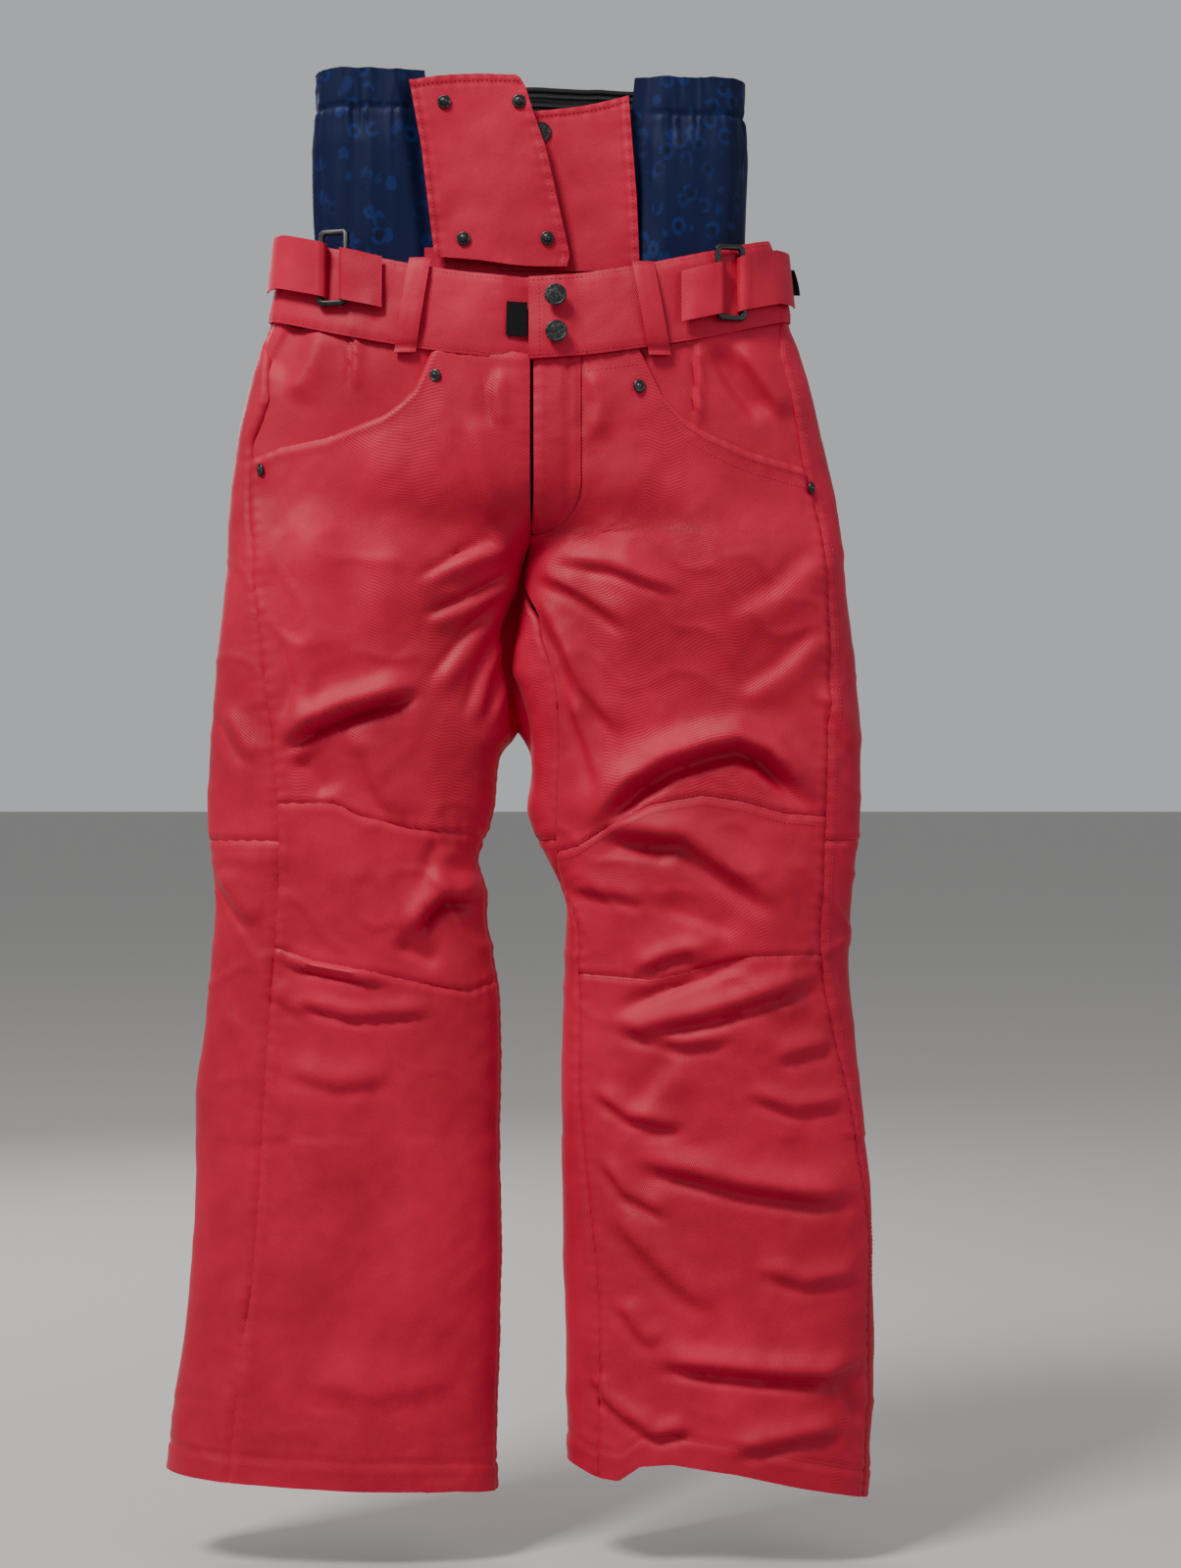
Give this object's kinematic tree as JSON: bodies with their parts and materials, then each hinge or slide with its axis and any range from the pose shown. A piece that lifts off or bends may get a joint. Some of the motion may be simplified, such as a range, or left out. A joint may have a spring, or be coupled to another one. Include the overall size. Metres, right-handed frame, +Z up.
{
  "type": "ski pants",
  "caption": "Ski pants with a buttoned waist gaiter, zip fly under a snap overlap, buckled waist tabs, riveted hand pockets, jointed knees and inner snow cuffs.",
  "frame": {"origin": "middle of the waist gaiter's rim, where the pants hang from two clips", "axes": "+X to the wearer's left, +Y to the back, +Z up, with the front facing -Y"},
  "size_m": [0.5396, 0.1284, 1.1],
  "materials": {
    "shell_cloth": "fine twill weave with a soft sheen",
    "print_cloth": "printed jersey",
    "lining_cloth": "plain light weave",
    "snow_gaiter_cloth": "plain light weave",
    "elastic": "ribbed elastic",
    "webbing": "matte woven tape",
    "zip": "coil zip on woven tape",
    "metal": "dark worn plating",
    "buckle_plastic": "moulded, fine grain"
  },
  "bodies": {
    "hips": {"adjuster_keeper_left": "shell_cloth", "adjuster_keeper_right": "shell_cloth", "belt_loop_back_left": "shell_cloth", "belt_loop_back_right": "shell_cloth", "belt_loop_centre_back": "shell_cloth", "belt_loop_front_left": "shell_cloth", "belt_loop_front_right": "shell_cloth", "fly_shield": "shell_cloth", "front_panel_left": "shell_cloth", "front_panel_right": "shell_cloth", "gaiter_back": "print_cloth", "gaiter_elastic": "elastic", "gaiter_side_left": "print_cloth", "gaiter_side_right": "print_cloth", "hip_fold_left": "shell_cloth", "hip_fold_right": "shell_cloth", "loop_patch": "webbing", "pocket_bag_left": "lining_cloth", "pocket_bag_right": "lining_cloth", "pocket_rivet_inner_left": "metal", "pocket_rivet_inner_right": "metal", "pocket_rivet_outer_left": "metal", "pocket_rivet_outer_right": "metal", "seat_left": "shell_cloth", "seat_right": "shell_cloth", "waist_stud_tape": "webbing", "waistband_back": "shell_cloth", "waistband_left": "shell_cloth", "waistband_right": "shell_cloth", "zip_chain": "zip"},
    "thigh_right": {"thigh_front_right": "shell_cloth", "thigh_back_right": "shell_cloth", "knee_fold_right": "shell_cloth"},
    "thigh_left": {"thigh_front_left": "shell_cloth", "thigh_back_left": "shell_cloth", "knee_fold_left": "shell_cloth"},
    "shin_right": {"shin_front_right": "shell_cloth", "shin_back_right": "shell_cloth", "snow_gaiter_right": "snow_gaiter_cloth"},
    "shin_left": {"shin_front_left": "shell_cloth", "shin_back_left": "shell_cloth", "snow_gaiter_left": "snow_gaiter_cloth"},
    "gaiter_flap_right": {"gaiter_flap_right": "shell_cloth", "gaiter_stud_inner_upper": "metal", "gaiter_stud_inner_lower": "metal", "gaiter_stud_outer_upper": "metal", "gaiter_stud_outer_lower": "metal"},
    "gaiter_flap_left": {"gaiter_flap_left": "shell_cloth", "gaiter_cap_upper": "metal", "gaiter_cap_lower": "metal"},
    "fly_flap": {"waist_overlap": "shell_cloth", "waist_cap_upper": "metal", "waist_cap_lower": "metal", "fly_facing": "shell_cloth"},
    "zip_slider": {"zip_slider": "metal"},
    "zip_pull": {"zip_pull": "metal"},
    "buckle_right": {"buckle_right": "buckle_plastic"},
    "buckle_left": {"buckle_left": "buckle_plastic"},
    "tab_right": {"adjuster_tab_right": "shell_cloth"},
    "tab_left": {"adjuster_tab_left": "shell_cloth"}
  },
  "joints": [
    {"name": "hip_swing_right", "type": "hinge", "parent": "hips", "child": "thigh_right", "pos_m": [-0.128, 0, -0.443], "axis": [-1, 0, 0], "range_deg": [0, 80], "deforming": ["hip_fold_right"]},
    {"name": "hip_swing_left", "type": "hinge", "parent": "hips", "child": "thigh_left", "pos_m": [0.128, 0, -0.443], "axis": [-1, 0, 0], "range_deg": [0, 80], "deforming": ["hip_fold_left"]},
    {"name": "knee_bend_right", "type": "hinge", "parent": "thigh_right", "child": "shin_right", "pos_m": [-0.136, 0, -0.655], "axis": [1, 0, 0], "range_deg": [0, 95], "deforming": ["knee_fold_right"]},
    {"name": "knee_bend_left", "type": "hinge", "parent": "thigh_left", "child": "shin_left", "pos_m": [0.136, 0, -0.655], "axis": [1, 0, 0], "range_deg": [0, 95], "deforming": ["knee_fold_left"]},
    {"name": "gaiter_flap_right_open", "type": "hinge", "parent": "hips", "child": "gaiter_flap_right", "pos_m": [-0.094, -0.0357, 0], "axis": [0.0995, 0, -0.995], "range_deg": [0, 90]},
    {"name": "gaiter_flap_left_open", "type": "hinge", "parent": "hips", "child": "gaiter_flap_left", "pos_m": [0.094, -0.0292, 0], "axis": [-0.0995, 0, -0.995], "range_deg": [0, 20]},
    {"name": "fly_flap_open", "type": "hinge", "parent": "hips", "child": "fly_flap", "pos_m": [0.04, -0.0565, -0.29], "axis": [0, 0, 1], "range_deg": [0, 55]},
    {"name": "zip_slide", "type": "slide", "parent": "hips", "child": "zip_slider", "axis": [0, 0.0817, -0.9967], "range_m": [0, 0.085]},
    {"name": "zip_pull_swing", "type": "hinge", "parent": "zip_slider", "child": "zip_pull", "pos_m": [0.016, -0.04472, -0.23232], "axis": [-1, 0, 0], "range_deg": [0, 10]},
    {"name": "buckle_right_turn", "type": "hinge", "parent": "hips", "child": "buckle_right", "pos_m": [-0.14225, -0.04287, -0.15652], "axis": [0.0245, 0.086, 0.996], "range_deg": [0, 20]},
    {"name": "buckle_left_turn", "type": "hinge", "parent": "hips", "child": "buckle_left", "pos_m": [0.14664, -0.04287, -0.16779], "axis": [0.0273, -0.0886, -0.9957], "range_deg": [0, 20]},
    {"name": "tab_right_turn", "type": "hinge", "parent": "buckle_right", "child": "tab_right", "pos_m": [-0.16149, -0.0374, -0.15652], "axis": [0.0245, 0.086, 0.996], "range_deg": [0, 110]},
    {"name": "tab_left_turn", "type": "hinge", "parent": "buckle_left", "child": "tab_left", "pos_m": [0.16576, -0.03699, -0.16779], "axis": [0.0273, -0.0886, -0.9957], "range_deg": [0, 110]}
  ]
}
